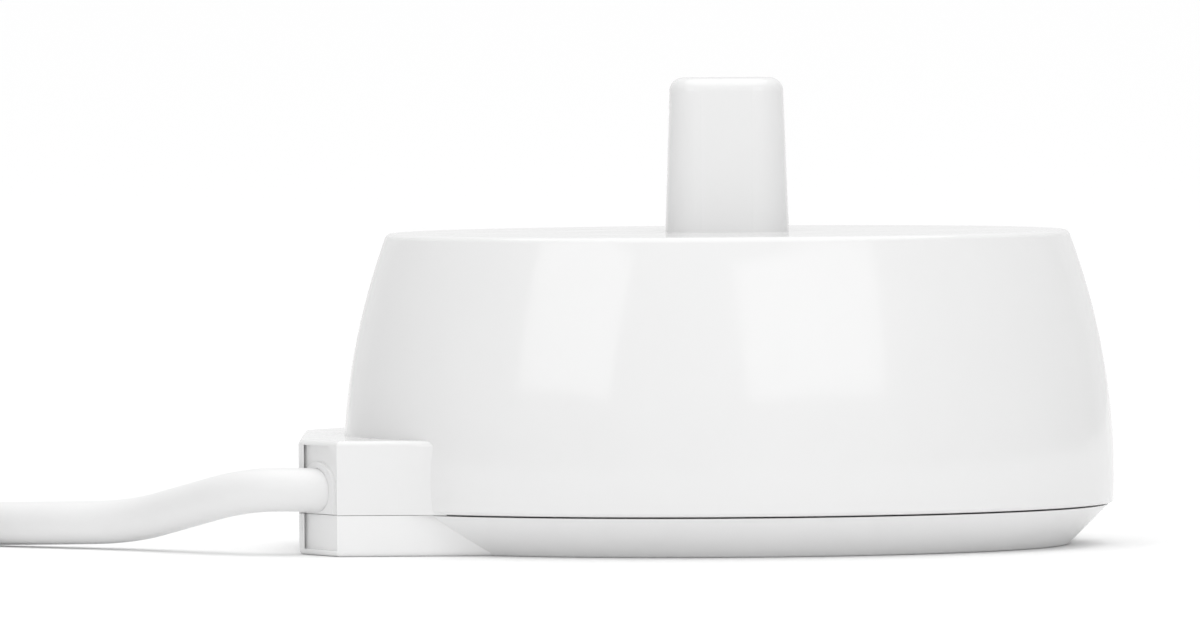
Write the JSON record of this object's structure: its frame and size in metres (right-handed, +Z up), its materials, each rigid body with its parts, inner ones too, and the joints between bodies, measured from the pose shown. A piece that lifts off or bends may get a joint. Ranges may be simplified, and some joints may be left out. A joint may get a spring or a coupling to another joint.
{
  "type": "toothbrush charger",
  "caption": "Squat oval inductive charging base with an upright charging peg, a rear cord block and a thin mains lead with a flat two-pin plug.",
  "frame": {"origin": "middle of the footprint of the base and its rear block, without the cord, on the surface it stands on", "axes": "+Z up along the charging peg, +X from the cord block towards the front end of the oval, +Y across it"},
  "size_m": [0.2021, 0.0716, 0.0378],
  "materials": {
    "housing_plastic": "glossy white moulded ABS",
    "cover_plastic": "glossy white moulded ABS",
    "seal_rubber": "grey elastomer",
    "pad_rubber": "light grey elastomer",
    "ferrite": "dull dark grey sintered ferrite",
    "bobbin_plastic": "natural nylon",
    "winding_copper": "enamelled copper wire",
    "tinned_wire": "tinned copper wire",
    "board_laminate": "phenolic paper laminate",
    "film_box": "yellow moulded film capacitor box",
    "capacitor_sleeve": "dark shrink sleeve",
    "black_epoxy": "black moulding compound",
    "resistor_coat": "pale blue-grey lacquer",
    "screw_steel": "zinc plated steel",
    "live_insulation": "brown vinyl insulation",
    "neutral_insulation": "blue vinyl insulation",
    "cord_vinyl": "soft white vinyl sheath, satin",
    "tie_vinyl": "satin white vinyl strap",
    "plug_vinyl": "satin white moulded vinyl",
    "sleeve_plastic": "dark moulded insulating sleeve",
    "pin_brass": "nickel plated brass"
  },
  "bodies": {
    "root": {"upper_housing": "housing_plastic", "bottom_cover": "cover_plastic", "housing_seal": "seal_rubber", "anti_slip_pads": "pad_rubber", "ferrite_core": "ferrite", "coil_bobbin": "bobbin_plastic", "primary_winding": "winding_copper", "bobbin_pins": "tinned_wire", "circuit_board": "board_laminate", "input_capacitor": "film_box", "reservoir_capacitor": "capacitor_sleeve", "resonance_capacitor": "film_box", "filter_choke": "ferrite", "rectifier_diodes": "black_epoxy", "switching_transistor": "black_epoxy", "fuse_resistor": "resistor_coat", "board_resistors": "resistor_coat", "board_screws": "screw_steel", "cord_clamp": "bobbin_plastic", "clamp_screws": "screw_steel", "live_wire": "live_insulation", "neutral_wire": "neutral_insulation", "strain_relief": "cord_vinyl", "power_cord": "cord_vinyl", "plug_lead": "cord_vinyl", "cord_coil": "cord_vinyl", "cord_tie": "tie_vinyl", "plug_strain_relief": "plug_vinyl", "plug_body": "plug_vinyl", "pin_sleeves": "sleeve_plastic", "plug_pins": "pin_brass"}
  },
  "joints": []
}
